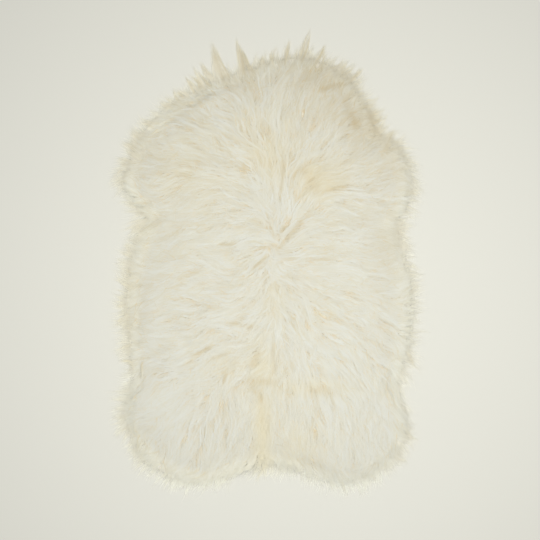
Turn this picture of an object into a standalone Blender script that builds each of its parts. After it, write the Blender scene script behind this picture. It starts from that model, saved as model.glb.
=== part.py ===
"""Sheepskin rug: one long-woolled pelt that lies flat on a floor, wool side up.

Metres, +Z up. The origin is on the floor under the middle of the rug, and the neck
end points along +Y. The pelt has two solids:

- hide: the tanned skin, a flat sheet whose underside is the face that lies on the floor.
- fleece: the wool, a lumpy slab combed outwards from the backbone. It hangs over the
  edge of the hide and ends in two rows of tapered locks, the lower row on the floor.
"""

import math
import random

import bmesh
import bpy
from mathutils import Vector, noise

# Driving sizes of the pelt.
HIDE_THICKNESS = 0.002
CLEARANCE = 0.0003  # between the hide and the wool round it
BODY_INSET = 0.026  # from the edge of the dense wool in to the roots of the rim locks
HIDE_INSET = 0.052  # from the edge of the dense wool in to the cut edge of the hide

# Heights of the fleece above the floor.
CROWN_HEIGHT = 0.058  # along the backbone
SHOULDER_HEIGHT = 0.030  # where the upper row of rim locks starts
WAIST_HEIGHT = 0.013  # between the two rows of rim locks

# Relief of the combed wool on top, as smooth noise. The places are where each kind starts
# in the noise, and fade is how fast it grows from nothing on the backbone.
RELIEF = (
    # kind, height, bumps round the rim, bumps along the comb, place x, place y, fade
    ("ridges", 0.0075, 9.0, 1.6, 3.1, 1.7, 2.2),
    ("clumps", 0.0080, 6.0, 5.5, 5.2, 9.3, 2.2),
    ("mounds", 0.0050, 1.9, 3.4, 7.3, 4.4, 20.0),
)
CROWN_POWER = 4.5  # how late the crown falls away towards the shoulder
RELIEF_POWER = 6.0  # how late the relief fades towards the shoulder
PARTING_DEPTH = 0.007  # the groove where the wool parts along the backbone
PARTING_REACH = 0.12  # share of the way out over which that groove fades

# The backbone, which the wool is combed away from: x where y is 0, and its lean.
SPINE_X = 0.002
SPINE_LEAN = 0.04

# Mesh steps.
RIM_STEPS = 124  # round the rim, and so the number of locks in each row
CURVE_STEPS = 10  # between two rows of RIM
TOP_ROWS = 14  # from the backbone to the rim

# The edge of the dense wool, counter-clockwise seen from above. Each row has the place,
# its x and y, and the y of the point on the backbone that its wool is combed from.
RIM = (
    ("right flank", 0.360, -0.088, 0.039),
    ("right flank, upper", 0.338, 0.015, 0.064),
    ("right armpit", 0.328, 0.091, 0.099),
    ("right foreleg, low", 0.353, 0.129, 0.129),
    ("right foreleg, tip", 0.362, 0.194, 0.169),
    ("right foreleg, top", 0.331, 0.264, 0.201),
    ("right shoulder", 0.288, 0.301, 0.215),
    ("right of the neck", 0.268, 0.354, 0.222),
    ("right nape", 0.231, 0.421, 0.227),
    ("neck, right", 0.166, 0.479, 0.229),
    ("neck, crown", 0.082, 0.499, 0.229),
    ("neck, middle", -0.008, 0.479, 0.227),
    ("neck, left", -0.080, 0.464, 0.225),
    ("left nape", -0.145, 0.443, 0.224),
    ("left of the neck", -0.209, 0.404, 0.222),
    ("left shoulder", -0.276, 0.345, 0.215),
    ("left foreleg, top", -0.326, 0.287, 0.204),
    ("left foreleg, tip", -0.358, 0.191, 0.166),
    ("left foreleg, low", -0.341, 0.147, 0.137),
    ("left armpit", -0.306, 0.107, 0.104),
    ("left flank, upper", -0.333, -0.002, 0.054),
    ("left flank", -0.350, -0.105, 0.024),
    ("left flank, lower", -0.341, -0.212, -0.011),
    ("left waist", -0.334, -0.306, -0.041),
    ("left hind leg, tip", -0.355, -0.391, -0.081),
    ("left hind leg, low", -0.324, -0.463, -0.121),
    ("left rump corner", -0.264, -0.513, -0.161),
    ("left rump", -0.180, -0.542, -0.193),
    ("left of the tail", -0.097, -0.524, -0.211),
    ("tail notch", -0.001, -0.493, -0.221),
    ("right of the tail", 0.118, -0.521, -0.211),
    ("right rump", 0.206, -0.544, -0.193),
    ("right rump corner", 0.281, -0.527, -0.166),
    ("right hind leg, low", 0.331, -0.483, -0.129),
    ("right hind leg, tip", 0.349, -0.418, -0.081),
    ("right waist", 0.329, -0.343, -0.041),
    ("right flank, lower", 0.348, -0.211, 0.009),
)

# The two rows of locks: the lengths they may have, and their underside and top at each
# step along them, from just off the root to the tip.
LOCK_STEPS = (
    # share of the length, share of the root's width
    (0.40, 0.76),
    (0.74, 0.44),
    (1.00, 0.10),
)
UPPER_LOCK = {
    "lengths": (0.020, 0.044),
    "undersides": (0.0125, 0.0118, 0.0110),
    "tops": (0.0265, 0.0195, 0.0135),
}
LOWER_LOCK = {
    "lengths": (0.016, 0.036),
    "undersides": (0.0, 0.0, 0.0),
    "tops": (0.0105, 0.0075, 0.0030),
}
LOCK_WIDTHS = (0.6, 1.4)  # narrowest and widest at the root, against the mean
LOCK_TURN = math.radians(5)  # how far a lock may lie off the comb's direction
LOCK_CURL = math.radians(15)  # how far it may bend along its length
OUTWARD = 0.6  # how strongly a lock leans from the comb to straight out of the rim
SIDEWAYS_LENGTH = 0.35  # the share of its length that a lock along the rim keeps

# Single locks that reach further than their neighbours, and the places of their tips.
TUFTS = (
    # place, root x, root y, tip x, tip y
    ("left nape", -0.178, 0.394, -0.211, 0.447),
    ("left nape, upper", -0.154, 0.410, -0.180, 0.474),
    ("neck tuft, left", -0.128, 0.422, -0.147, 0.505),
    ("neck tuft", -0.105, 0.431, -0.130, 0.526),
    ("neck tuft, right", -0.085, 0.436, -0.115, 0.507),
    ("neck wisp", -0.060, 0.442, -0.073, 0.560),
    ("neck wisp, right", -0.034, 0.447, -0.044, 0.508),
    ("neck crown, left", 0.068, 0.473, 0.061, 0.524),
    ("neck crown", 0.085, 0.473, 0.102, 0.536),
)
TUFT_REACH = 0.009  # how near to that root a lock's own root is

WOOL_COLOUR = (0.76, 0.72, 0.60, 1.0)
SUEDE_COLOUR = (0.66, 0.56, 0.42, 1.0)


def clear_scene():
    for obj in list(bpy.data.objects):
        bpy.data.objects.remove(obj, do_unlink=True)


def make_collection(name):
    collection = bpy.data.collections.new(name)
    bpy.context.scene.collection.children.link(collection)
    return collection


def make_material(name, colour, roughness):
    material = bpy.data.materials.new(name)
    material.use_nodes = True
    shader = material.node_tree.nodes["Principled BSDF"]
    shader.inputs["Base Color"].default_value = colour
    shader.inputs["Roughness"].default_value = roughness
    shader.inputs["Metallic"].default_value = 0.0
    return material


def blend_four(a, b, c, d, f):
    """Catmull-Rom blend between b and c."""
    return 0.5 * (
        2 * b + (c - a) * f + (2 * a - 5 * b + 4 * c - d) * f**2
        + (3 * b - a - 3 * c + d) * f**3
    )


def rim_curve():
    """Points on the smooth rim, each as x, y and the y it is combed from, and the length
    of the rim up to each of them."""
    rows = [Vector(row[1:]) for row in RIM]
    count = len(rows)
    points = []
    for i in range(count):
        near = [rows[(i + k) % count] for k in (-1, 0, 1, 2)]
        points += [blend_four(*near, step / CURVE_STEPS) for step in range(CURVE_STEPS)]
    points.append(points[0].copy())
    lengths = [0.0]
    for before, after in zip(points, points[1:]):
        lengths.append(lengths[-1] + (after.xy - before.xy).length)
    return points, lengths


def rim_at(curve, turn):
    """The rim at a share of the way round it."""
    points, lengths = curve
    wanted = (turn % 1.0) * lengths[-1]
    after = next(i for i, length in enumerate(lengths) if length > wanted)
    share = (wanted - lengths[after - 1]) / (lengths[after] - lengths[after - 1])
    return points[after - 1].lerp(points[after], share)


def comb_line(curve, turn):
    """Where on the backbone the wool at this turn starts, and its way to the rim."""
    rim = rim_at(curve, turn)
    start = Vector((SPINE_X + SPINE_LEAN * rim.z, rim.z))
    return start, rim.xy - start


def out_from_spine(curve, turn, reach, inset):
    """A place in the plan: reach is 0 on the backbone and 1 at inset from the rim."""
    start, way = comb_line(curve, turn)
    return start + way * reach * (1 - inset / way.length)


def top_height(turn, reach):
    """The height of the fleece above the floor, with its ridges, clumps and mounds."""
    around = Vector((math.cos(2 * math.pi * turn), math.sin(2 * math.pi * turn), 0))
    relief = 0.0
    for _, height, across, along, x, y, fade in RELIEF:
        bump = noise.noise(around * across + Vector((x, y, reach * along)))
        relief += height * bump * min(1.0, reach * fade)
    crown = SHOULDER_HEIGHT + (CROWN_HEIGHT - SHOULDER_HEIGHT) * (1 - reach**CROWN_POWER)
    parting = PARTING_DEPTH * max(0.0, 1 - reach / PARTING_REACH)
    return crown + relief * (1 - reach**RELIEF_POWER) - parting


def fleece_point(curve, rows, turn, row):
    """The place of the point at a turn round the rim, in a row of the starting sphere."""
    kind, reach = rows[row]
    place = out_from_spine(curve, turn, reach, BODY_INSET)
    height = {
        "top": top_height(turn, reach),
        "waist": WAIST_HEIGHT,
        "floor": 0.0,
    }[kind]
    return Vector((place.x, place.y, height))


def uneven_turns():
    """The turn of each step round the rim. The steps are uneven, as locks are."""
    rng = random.Random(5)
    widths = [rng.uniform(*LOCK_WIDTHS) for _ in range(RIM_STEPS)]
    return [sum(widths[:i]) / sum(widths) for i in range(RIM_STEPS)]


def shape_slab(bm, curve):
    """Turns a sphere into the slab. Returns the faces of each band of the rim's wall."""
    rows = [("top", row / TOP_ROWS) for row in range(TOP_ROWS + 1)]
    rows += [("waist", 1.0), ("floor", 1.0), ("floor", 0.5), ("floor", 0.0)]
    shoulder = TOP_ROWS
    last = len(rows) - 1
    bmesh.ops.create_uvsphere(bm, u_segments=RIM_STEPS, v_segments=last, radius=1.0)
    turns = uneven_turns()
    row_of = {}
    for vertex in bm.verts:
        row = round(math.acos(max(-1.0, min(1.0, vertex.co.z))) / math.pi * last)
        step = round(math.atan2(vertex.co.y, vertex.co.x) / (2 * math.pi) * RIM_STEPS)
        row_of[vertex] = row
        vertex.co = fleece_point(curve, rows, turns[step % RIM_STEPS], row)
    bands = {"upper": shoulder, "lower": shoulder + 1}
    return {
        name: [f for f in bm.faces if {row_of[v] for v in f.verts} == {top, top + 1}]
        for name, top in bands.items()
    }


def comb_direction(curve, place):
    """The direction of the comb at the rim point nearest to a place."""
    nearest = min(curve[0], key=lambda p: (p.xy - place.xy).length_squared)
    start = Vector((SPINE_X + SPINE_LEAN * nearest.z, nearest.z))
    return (place.xy - start).normalized()


def pulled_by_tufts(root, way, length, curl):
    """A lock's direction, length and curl, drawn to a tuft's tip where it is that tuft."""
    for _, x, y, tip_x, tip_y in TUFTS:
        share = math.exp(-(((root.xy - Vector((x, y))).length / TUFT_REACH) ** 2))
        to_tip = Vector((tip_x, tip_y)) - root.xy
        way = way.lerp(to_tip.normalized(), share)
        length += (to_tip.length - length) * share
        curl *= 1 - share
    return way.normalized(), length, curl


def turned(direction, angle):
    cos, sin = math.cos(angle), math.sin(angle)
    x, y = direction
    return Vector((x * cos - y * sin, x * sin + y * cos))


def grow_locks(bm, curve, faces, lock, seed):
    """Draws each face of a band out into one tapered lock that lies with the comb."""
    rng = random.Random(seed)
    for face in faces:
        root = face.calc_center_median()
        middle = root.z
        spans = {v: (v.co - root) for v in face.verts}
        normal = face.normal.xy.normalized()
        comb = comb_direction(curve, root)
        way = (comb + OUTWARD * normal).normalized()
        way = turned(way, rng.uniform(-LOCK_TURN, LOCK_TURN))
        curl = rng.uniform(-LOCK_CURL, LOCK_CURL)
        outward = max(0.0, way.dot(normal))
        length = rng.uniform(*lock["lengths"])
        length *= SIDEWAYS_LENGTH + (1 - SIDEWAYS_LENGTH) * outward
        way, length, curl = pulled_by_tufts(root, way, length, curl)
        centre, along = root.xy.copy(), 0.0
        corners = [(v.co.z > middle, spans[v].xy.copy()) for v in face.verts]
        for step, (share, width) in enumerate(LOCK_STEPS):
            centre += way * length * (share - along)
            along = share
            way = turned(way, curl)
            low, high = lock["undersides"][step], lock["tops"][step]
            face = bmesh.ops.extrude_discrete_faces(bm, faces=[face])["faces"][0]
            for vertex, (is_top, span) in zip(face.verts, corners):
                place = centre + span * width
                vertex.co = (place.x, place.y, high if is_top else low)


def make_fleece(collection, curve, pocket, material):
    """The wool: the combed slab with its rim locks, cut to sit over the hide."""
    bm = bmesh.new()
    bands = shape_slab(bm, curve)
    bm.normal_update()
    grow_locks(bm, curve, bands["upper"], UPPER_LOCK, seed=13)
    grow_locks(bm, curve, bands["lower"], LOWER_LOCK, seed=14)
    mesh = bpy.data.meshes.new("fleece")
    bm.to_mesh(mesh)
    bm.free()
    mesh.shade_smooth()
    mesh.set_sharp_from_angle(angle=math.radians(40))
    mesh.materials.append(material)
    fleece = bpy.data.objects.new("fleece", mesh)
    collection.objects.link(fleece)
    cut = fleece.modifiers.new("hide pocket", "BOOLEAN")
    cut.operation = "DIFFERENCE"
    cut.solver = "EXACT"
    cut.object = pocket
    return fleece


def hide_outline(name, curve, inset, half_thickness):
    """A flat outline, inset from the rim along the comb, as an extruded 2D curve."""
    data = bpy.data.curves.new(name, "CURVE")
    data.dimensions = "2D"
    data.fill_mode = "BOTH"
    data.extrude = half_thickness
    spline = data.splines.new("POLY")
    spline.points.add(RIM_STEPS - 1)
    spline.use_cyclic_u = True
    for i, point in enumerate(spline.points):
        place = out_from_spine(curve, i / RIM_STEPS, 1.0, inset)
        point.co = (place.x, place.y, 0.0, 1.0)
    return bpy.data.objects.new(name, data)


def make_hide(collection, curve, material):
    """The tanned skin, flat on the floor."""
    hide = hide_outline("hide", curve, HIDE_INSET, HIDE_THICKNESS / 2)
    hide.location.z = HIDE_THICKNESS / 2
    hide.data.materials.append(material)
    collection.objects.link(hide)
    return hide


def make_pocket(collection, curve):
    """The room that the hide takes under the fleece, as a cutter that starts below it."""
    below = HIDE_THICKNESS
    height = below + HIDE_THICKNESS + CLEARANCE
    outline = hide_outline("pocket_outline", curve, HIDE_INSET - CLEARANCE, height / 2)
    outline.location.z = height / 2 - below
    collection.objects.link(outline)
    bpy.context.view_layer.update()
    solid = bpy.data.meshes.new_from_object(
        outline.evaluated_get(bpy.context.evaluated_depsgraph_get())
    )
    bm = bmesh.new()
    bm.from_mesh(solid)
    bmesh.ops.remove_doubles(bm, verts=bm.verts, dist=1e-6)
    bmesh.ops.recalc_face_normals(bm, faces=bm.faces)
    bm.to_mesh(solid)
    bm.free()
    pocket = bpy.data.objects.new("hide_pocket", solid)
    pocket.matrix_world = outline.matrix_world.copy()
    bpy.data.objects.remove(outline, do_unlink=True)
    collection.objects.link(pocket)
    pocket.hide_render = True
    pocket.display_type = "WIRE"
    return pocket


def main():
    clear_scene()
    parts = make_collection("sheepskin_rug")
    cutters = make_collection("cutters")
    wool = make_material("wool", WOOL_COLOUR, 0.75)
    suede = make_material("suede", SUEDE_COLOUR, 0.9)
    curve = rim_curve()
    make_hide(parts, curve, suede)
    make_fleece(parts, curve, make_pocket(cutters, curve), wool)


main()
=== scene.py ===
"""Looks of the sheepskin rug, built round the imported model.

Metres, +Z up, in the model's frame: the rug lies on z = 0 and its neck end points along
+Y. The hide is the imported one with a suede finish. The fleece is replaced by a dense
under-wool and by locks of tapered fibres, which lie with the comb over the packed
fleece's own height and hang over the rim to the floor.
"""

import math
from typing import NamedTuple

import bpy
import numpy as np
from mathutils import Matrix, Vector
from mathutils.bvhtree import BVHTree


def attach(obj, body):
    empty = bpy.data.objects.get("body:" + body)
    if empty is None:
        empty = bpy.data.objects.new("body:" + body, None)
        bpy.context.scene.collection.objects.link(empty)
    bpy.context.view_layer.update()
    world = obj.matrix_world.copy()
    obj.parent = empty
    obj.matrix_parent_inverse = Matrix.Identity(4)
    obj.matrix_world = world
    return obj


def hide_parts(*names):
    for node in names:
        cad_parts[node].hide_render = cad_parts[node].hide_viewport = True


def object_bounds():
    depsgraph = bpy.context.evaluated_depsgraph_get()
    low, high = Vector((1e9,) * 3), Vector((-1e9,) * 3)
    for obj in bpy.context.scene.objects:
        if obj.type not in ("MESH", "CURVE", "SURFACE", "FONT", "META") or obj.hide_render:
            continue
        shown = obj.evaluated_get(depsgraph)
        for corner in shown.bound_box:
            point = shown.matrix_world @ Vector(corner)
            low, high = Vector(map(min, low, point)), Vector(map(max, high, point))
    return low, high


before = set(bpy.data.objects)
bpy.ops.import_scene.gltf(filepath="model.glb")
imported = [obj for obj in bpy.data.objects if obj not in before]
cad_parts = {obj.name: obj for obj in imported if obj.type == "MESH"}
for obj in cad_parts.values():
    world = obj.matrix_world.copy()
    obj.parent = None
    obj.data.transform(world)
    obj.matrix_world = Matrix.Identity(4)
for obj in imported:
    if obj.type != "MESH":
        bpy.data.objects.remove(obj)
cad_low, cad_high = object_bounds()

# The photograph: its scale on the floor, and the place under its middle.
METRES_PER_PIXEL = 0.00239
PHOTO_PIXELS = 540
VIEW_CENTRE = (0.0108, -0.0210)
CAMERA_HEIGHT = 2.6
SENSOR_WIDTH = 36.0  # in millimetres

# The studio: one soft light over the rug, an even glow all round, and a floor.
LIGHT_PLACE = (0.12, -0.10, 2.0)
LIGHT_SIZE = 1.2
LIGHT_POWER = 40
LIGHT_COLOUR = (1.0, 1.0, 0.98)
GLOW_STRENGTH = 0.47
FLOOR_REACH = 14.0  # from its middle to each side

# The comb's heading in degrees, counter-clockwise from +X, on a grid of places.
COMB_X = (-0.330, -0.247, -0.166, -0.085, -0.023, 0.044, 0.106, 0.188, 0.269, 0.345)
COMB = (
    # y, heading at each of COMB_X
    (0.481, (150, 145, 132, 106, 86, 72, 60, 55, 50, 38)),
    (0.397, (150, 152, 140, 118, 82, 60, 46, 48, 46, 40)),
    (0.314, (152, 155, 145, 138, 92, 76, 52, 42, 42, 35)),
    (0.230, (176, 174, 160, 158, 112, 74, 42, 22, 10, 2)),
    (0.146, (172, 174, 184, 172, 160, 104, 52, 6, 2, -6)),
    (0.075, (176, 188, 200, 199, 176, 56, 28, 8, -14, -16)),
    (-0.002, (176, 182, 180, 188, 200, 0, 14, 2, 10, -8)),
    (-0.081, (170, 188, 176, 188, 218, -34, -18, -20, -10, 0)),
    (-0.164, (172, 184, 191, 195, 220, -70, -64, -42, -25, -15)),
    (-0.248, (192, 197, 207, 204, 240, -88, -82, -44, -42, -40)),
    (-0.332, (196, 205, 226, 272, 264, -88, -84, -76, -80, -50)),
    (-0.415, (212, 234, 245, 258, 270, -92, -104, -94, -86, -55)),
    (-0.499, (218, 230, 238, 246, 258, -90, -88, -84, -78, -66)),
)
WHORL = (0.0156, 0.0390)  # where the wool starts in every direction
WHORL_RADIUS = 0.020

# Where locks part, and short ones cross between them.
PARTING = (
    # x, y, radius of the patch, tufts, heading, spread of headings
    (0.016, 0.039, 0.016, 34, 0, 180),
    (0.016, 0.050, 0.034, 60, 0, 180),
    (0.010, 0.110, 0.026, 34, 95, 60),
    (0.006, 0.160, 0.024, 26, 95, 40),
    (0.012, 0.000, 0.026, 46, -90, 95),
    (0.125, 0.130, 0.024, 28, 25, 30),
    (0.088, 0.090, 0.018, 16, 35, 30),
    (0.054, 0.096, 0.014, 16, 65, 35),
    (0.014, -0.045, 0.026, 44, -90, 85),
    (0.016, -0.090, 0.026, 44, -90, 75),
    (0.018, -0.135, 0.025, 40, -92, 65),
    (0.014, -0.180, 0.025, 36, -92, 55),
    (0.008, -0.225, 0.024, 32, -92, 45),
    (0.000, -0.270, 0.024, 30, -92, 38),
    (-0.004, -0.315, 0.022, 28, -92, 32),
    (-0.006, -0.360, 0.022, 26, -92, 28),
    (-0.006, -0.405, 0.020, 22, -92, 25),
)

# Locks that reach past the rim, by themselves or as tufts.
WISPS = (
    # place, root x, root y, tip x, tip y, half width of the roots, locks
    ("neck tuft", -0.094, 0.421, -0.130, 0.524, 0.031, 22),
    ("neck tuft, side", -0.118, 0.424, -0.157, 0.481, 0.014, 6),
    ("neck wisp", -0.054, 0.438, -0.073, 0.557, 0.010, 5),
    ("neck wisp, fork", -0.032, 0.447, -0.061, 0.517, 0.010, 3),
    ("neck middle", -0.008, 0.452, -0.006, 0.505, 0.014, 4),
    ("neck middle, thin", 0.047, 0.467, 0.059, 0.533, 0.007, 2),
    ("neck crown, tall", 0.082, 0.471, 0.106, 0.553, 0.006, 3),
    ("neck crown", 0.118, 0.476, 0.146, 0.524, 0.007, 3),
    ("neck, right", 0.202, 0.421, 0.238, 0.469, 0.010, 3),
    ("right ear", 0.274, 0.247, 0.314, 0.326, 0.012, 4),
    ("left neck", -0.140, 0.409, -0.180, 0.476, 0.017, 5),
    ("left neck, lower", -0.152, 0.392, -0.197, 0.452, 0.017, 5),
    ("left shoulder", -0.185, 0.376, -0.223, 0.421, 0.014, 4),
    ("left shoulder, lower", -0.209, 0.354, -0.259, 0.381, 0.014, 4),
    ("tail right", 0.173, -0.489, 0.197, -0.561, 0.014, 4),
    ("tail middle", 0.152, -0.489, 0.154, -0.547, 0.012, 3),
    ("tail right, outer", 0.240, -0.485, 0.269, -0.542, 0.012, 3),
    ("right corner", 0.293, -0.442, 0.343, -0.480, 0.012, 4),
    ("right corner, upper", 0.312, -0.389, 0.360, -0.442, 0.012, 4),
    ("right flank", 0.326, -0.212, 0.365, -0.265, 0.010, 3),
    ("left corner", -0.295, -0.351, -0.362, -0.380, 0.012, 4),
    ("left corner, lower", -0.295, -0.380, -0.353, -0.408, 0.012, 4),
    ("left flank", -0.300, -0.241, -0.353, -0.236, 0.010, 3),
    ("left foreleg", -0.312, 0.208, -0.364, 0.194, 0.010, 3),
    ("left foreleg, upper", -0.295, 0.256, -0.343, 0.285, 0.012, 3),
    ("left shoulder, top", -0.252, 0.314, -0.300, 0.342, 0.012, 3),
)

# How locks lie in a wisp, as shares of its length or of its width.
WISP_ROOTS = (-0.25, 0.15)  # where they start
WISP_REACH = (0.70, 1.12)  # where they end
WISP_POINT = 0.15  # how much less far the outermost ones reach
WISP_TIP = 0.10  # the width that is left at the tip
WISP_BOW = 0.05  # how far they bend

# The wool: tufts of locks, locks of fibres.
TUFT_SPACING = 0.023
TUFT_OVERHANG = 0.006  # how far past the hide's edge tufts may be rooted
TUFT_LENGTH = (0.060, 0.100)
EDGE_TUFT_LENGTH = (0.080, 0.115)  # of tufts rooted within EDGE_BAND of the hide's edge
EDGE_BAND = 0.045
UNDERCOAT_LENGTH = (0.040, 0.065)
HAIR_LENGTH = (0.080, 0.128)
CROSSING_LENGTH = (0.045, 0.080)
CROSSING_TURN = 0.9  # the share of a crossing tuft over which it turns to the comb
TUFT_STEPS = 11
TUFT_LIFTS = (-0.0005, 0.0010)
TUFT_PULL = 0.22  # how far a lock has closed on the middle of its tuft at the tip
PULL_POWER = 1.1
LOCK_LIFT = 0.0006
LOCK_RADII = (0.7, 1.4)  # narrowest and widest, against the kind's own
LOCK_WAVE = (0.0004, 0.0016)  # how far a lock swings from its line
LOCK_WAVES = 1.7  # how often it does so along its length
LOCK_NARROWS = 0.62  # how much narrower it is at its tip
NARROWS_POWER = 1.2
LOCK_FLATNESS = 0.45  # its height against its width
LOOSE_SHARE = 0.20  # of a lock's fibres, which lie further from its middle
LOOSE_REACH = 3.0
REACH_JITTER = 0.005  # how far neighbouring locks end sooner or later together

# How tufts stray from the comb, in degrees.
TUFT_TURN = 5  # one by one
LOOSE_TURN = 26  # the same for the undercoat
HAIR_TURN = 15  # the same for the hairs of the rim
BEND_TURN = 18  # together with all near them
RIPPLE_TURN = 14  # the same, over a shorter distance
SWAY_TURN = 18  # to and fro along a tuft
SWAYS = 0.95  # how often they do so along their length
SWAY_SHIFT = 3.0  # radians it shifts from place to place
SWAY_JITTER = 0.35  # radians it shifts from tuft to tuft


class Kind(NamedTuple):
    """One kind of lock: where it is rooted, how it lies and what it is made of."""

    reach: tuple  # how far past the hide's edge it ends
    radius: float
    fibres: int
    width: float  # of a fibre, as a share of FIBRE_WIDTH
    tint: float  # its mean, from warm at 0 to light at 1
    spacing: float = 0.0  # of the roots
    band: float = 0.0  # how far inside the hide's edge the roots go
    layer: tuple = (1.0, 1.0)  # the share of the wool's height that it lies at
    lift: tuple = (0.0, 0.0)  # how far its middle is raised
    start: float = 0.0  # where the colour of its root is on the way from root to tip


COVER = Kind(
    reach=(0.026, 0.044), radius=0.0027, fibres=7, width=1.0, tint=0.62,
    spacing=0.0086, band=1.0,
)
UNDERCOAT = Kind(
    reach=(0.026, 0.044), radius=0.0055, fibres=5, width=1.05, tint=0.38,
    spacing=0.0098, band=1.0, lift=(-0.0012, 0.0004),
)
RIM = Kind(
    reach=(0.028, 0.050), radius=0.0035, fibres=7, width=0.9, tint=0.62,
    spacing=0.0064, band=0.016, layer=(0.30, 0.95), lift=(0.0, 0.001), start=0.3,
)
HAIR = Kind(
    reach=(0.036, 0.084), radius=0.0060, fibres=6, width=0.5, tint=0.8,
    spacing=0.0045, band=0.022, layer=(0.20, 1.00), lift=(-0.001, 0.001), start=0.4,
)
# The roots of these two come from PARTING and WISPS.
CROSSING = Kind(
    reach=(0.030, 0.040), radius=0.0028, fibres=9, width=1.0, tint=0.62, lift=(0.0, 0.0022)
)
WISP = Kind(
    reach=(1.0, 1.0), radius=0.0032, fibres=12, width=0.48, tint=0.45, lift=(0.0, 0.0010), start=0.4
)
TINT_SPREAD = (0.10, 0.34)  # at the tail end and at the neck end

# The fibres, tapered ribbons of a few steps.
FIBRE_WIDTH = (0.0010, 0.0019)
FIBRE_STEPS = np.array((0.0, 0.16, 0.36, 0.58, 0.80, 1.0))  # shares of the length
FIBRE_TAPER = np.array((0.55, 0.9, 1.0, 0.9, 0.6))  # shares of the width, before the tip
FIBRE_REACH = (0.66, 1.0)  # where in its lock a fibre ends
FIBRE_ROLL = math.radians(28)
FIBRE_STRAY = 0.0022  # about how far its tip leaves the lock
STRAY_UP = 0.3  # how much of that it may do upwards
FIBRE_WAVE = 0.0009
FIBRE_WAVES = 1.6
WAVE_JITTER = 0.8  # radians between the waves of a lock's fibres
FIBRE_SOFTNESS = 0.85  # how far a fibre's shading follows the fleece rather than its own face
SLOPE_SOFTNESS = 0.25  # the share of the fleece's slope that its shading keeps
THROUGH = 0.5  # how much of the light a fibre passes on rather than sends back
ROOT_DEPTH = 0.0030
ROOT_RISE = 0.18  # the share of a lock's length over which it comes up from its root
WOOL_SEED = 21
MOST_TRIANGLES = 190_000

# How high the wool lies past the hide's edge.
RIM_FALL = (
    # distance from the hide's edge, height
    (-0.010, 0.0395),
    (0.000, 0.0365),
    (0.008, 0.0330),
    (0.016, 0.0285),
    (0.024, 0.0215),
    (0.032, 0.0132),
    (0.040, 0.0065),
    (0.048, 0.0036),
    (0.058, 0.0024),
    (0.070, 0.0020),
    (0.095, 0.0018),
)
RIM_FALL_BAND = (-0.010, 0.014)  # distances over which that takes over from the fleece
FLOOR_GAP = 0.0008  # between the floor and any fibre's line
LOCK_GAP = FLOOR_GAP + 0.0015  # between the floor and a lock's line
HEIGHT_STEP = 0.006
HEIGHT_MARGIN = 0.05

# How much less far the wool reaches past the hide, direction by direction.
REACH_CENTRE = (0.006, -0.021)
SHORTER = (
    # direction from the centre in degrees, distance
    (0, 0.000), (20, 0.006), (40, -0.004), (50, 0.006), (60, 0.003),
    (75, 0.006), (90, 0.000), (110, 0.014), (120, 0.008), (135, 0.008),
    (150, 0.006), (157, 0.014), (165, 0.000), (180, 0.006), (190, 0.008),
    (200, 0.011), (212, 0.010), (222, 0.020), (230, 0.018), (237, 0.002),
    (250, 0.002), (257, 0.006), (265, -0.013), (275, 0.000), (285, 0.008),
    (295, 0.014), (305, 0.018), (312, 0.008), (318, 0.018), (326, 0.003),
    (335, -0.006), (342, -0.008), (350, 0.000),
)
SHORTER_BAND = (-0.020, 0.010)  # distances from the hide's edge over which that comes in

# The under-wool, rings of vertices round the middle.
MAT_TURNS = 260
MAT_RINGS = 52
MAT_TOP_REACH = 0.010  # how far past the hide's edge its top goes
MAT_DEPTH = 0.0031  # below the top of the wool
MAT_DIP = 0.0008
MAT_LEAST_TOP = 0.010
# Its side, from its top round to its underside on the hide.
MAT_RIM = (
    # distance from the hide's edge, height
    (0.020, 0.0210),
    (0.027, 0.0150),
    (0.032, 0.0090),
    (0.035, 0.0040),
    (0.034, 0.0010),
    (0.016, 0.0010),
    (0.004, 0.0012),
)
MAT_RIM_DEPTH = 0.004  # below the top of the wool
MAT_RIM_LEAST = 0.001
MAT_TUCK = 0.5  # the share of SHORTER by which it is drawn in
MAT_RIPPLE = 0.1  # how uneven its reach is
MAT_UNDERSIDE = 0.0026
MAT_UNDERSIDE_REACH = 0.004  # how far past the hide's edge its underside goes

# Where the wool shows yellower, between locks that part or lie thin.
WARM = (
    # x, y, half width, half height, strength
    (0.011, 0.254, 0.053, 0.072, 0.6),
    (0.126, 0.189, 0.053, 0.048, 0.75),
    (-0.037, 0.314, 0.038, 0.033, 0.3),
    (-0.008, -0.391, 0.026, 0.110, 0.8),
    (0.082, -0.298, 0.131, 0.022, 0.45),
    (-0.008, -0.248, 0.033, 0.057, 0.55),
    (0.016, -0.093, 0.024, 0.062, 0.3),
    (-0.073, -0.248, 0.048, 0.024, 0.3),
    (0.082, -0.427, 0.057, 0.057, 0.3),
    (-0.170, 0.200, 0.110, 0.110, 0.25),
)

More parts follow.
